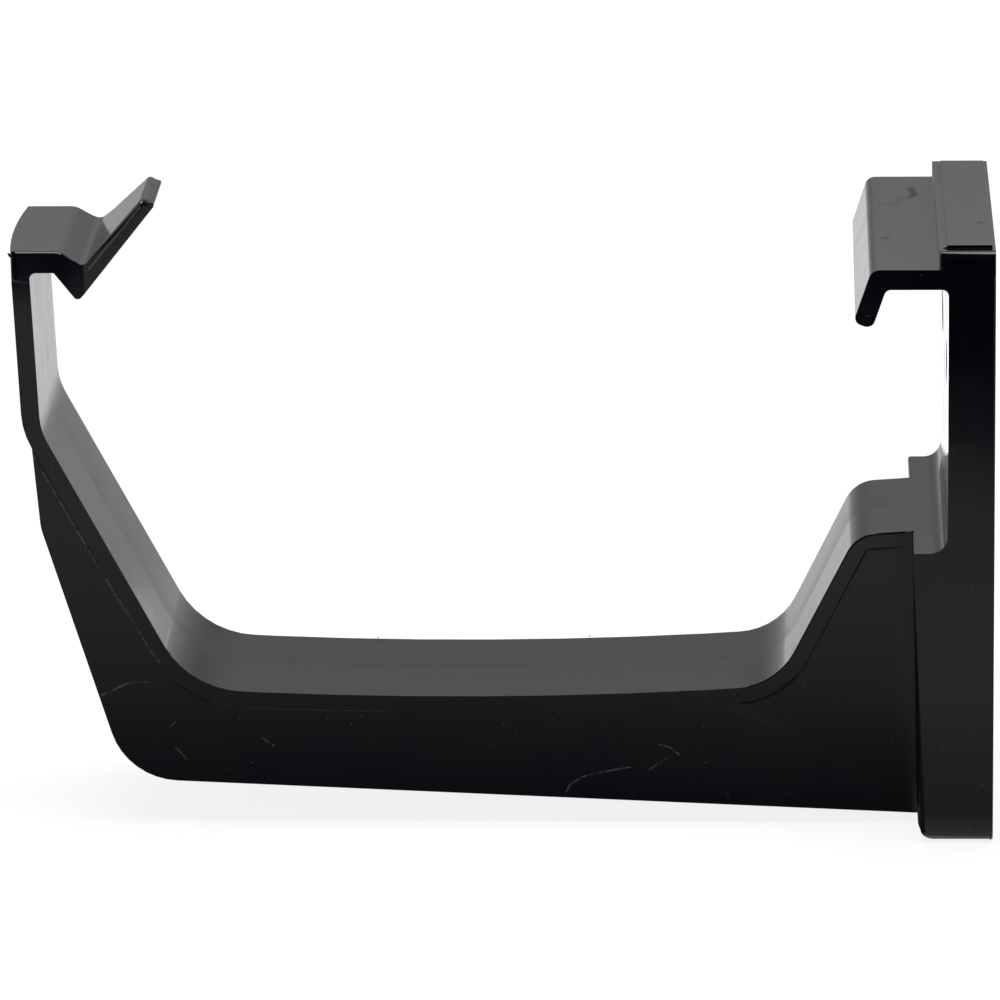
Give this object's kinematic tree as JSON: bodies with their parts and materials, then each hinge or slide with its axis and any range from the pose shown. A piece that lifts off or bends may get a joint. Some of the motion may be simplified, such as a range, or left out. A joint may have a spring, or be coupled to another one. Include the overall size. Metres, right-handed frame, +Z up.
{
  "type": "gutter bracket",
  "caption": "Moulded fascia bracket that cradles a square-line gutter: back plate with rear hook, hollow ribbed arm, and a front wall with a snap-over clip and thumb lever.",
  "frame": {"origin": "midway between the two screw holes, on the back plate's wall face", "axes": "+X into the wall, along the screw holes; +Y along the gutter; +Z up"},
  "size_m": [0.1234, 0.0438, 0.0812],
  "materials": {
    "plastic": "black, satin to gloss, as moulded"
  },
  "bodies": {
    "root": {"bracket": "plastic"}
  },
  "joints": []
}
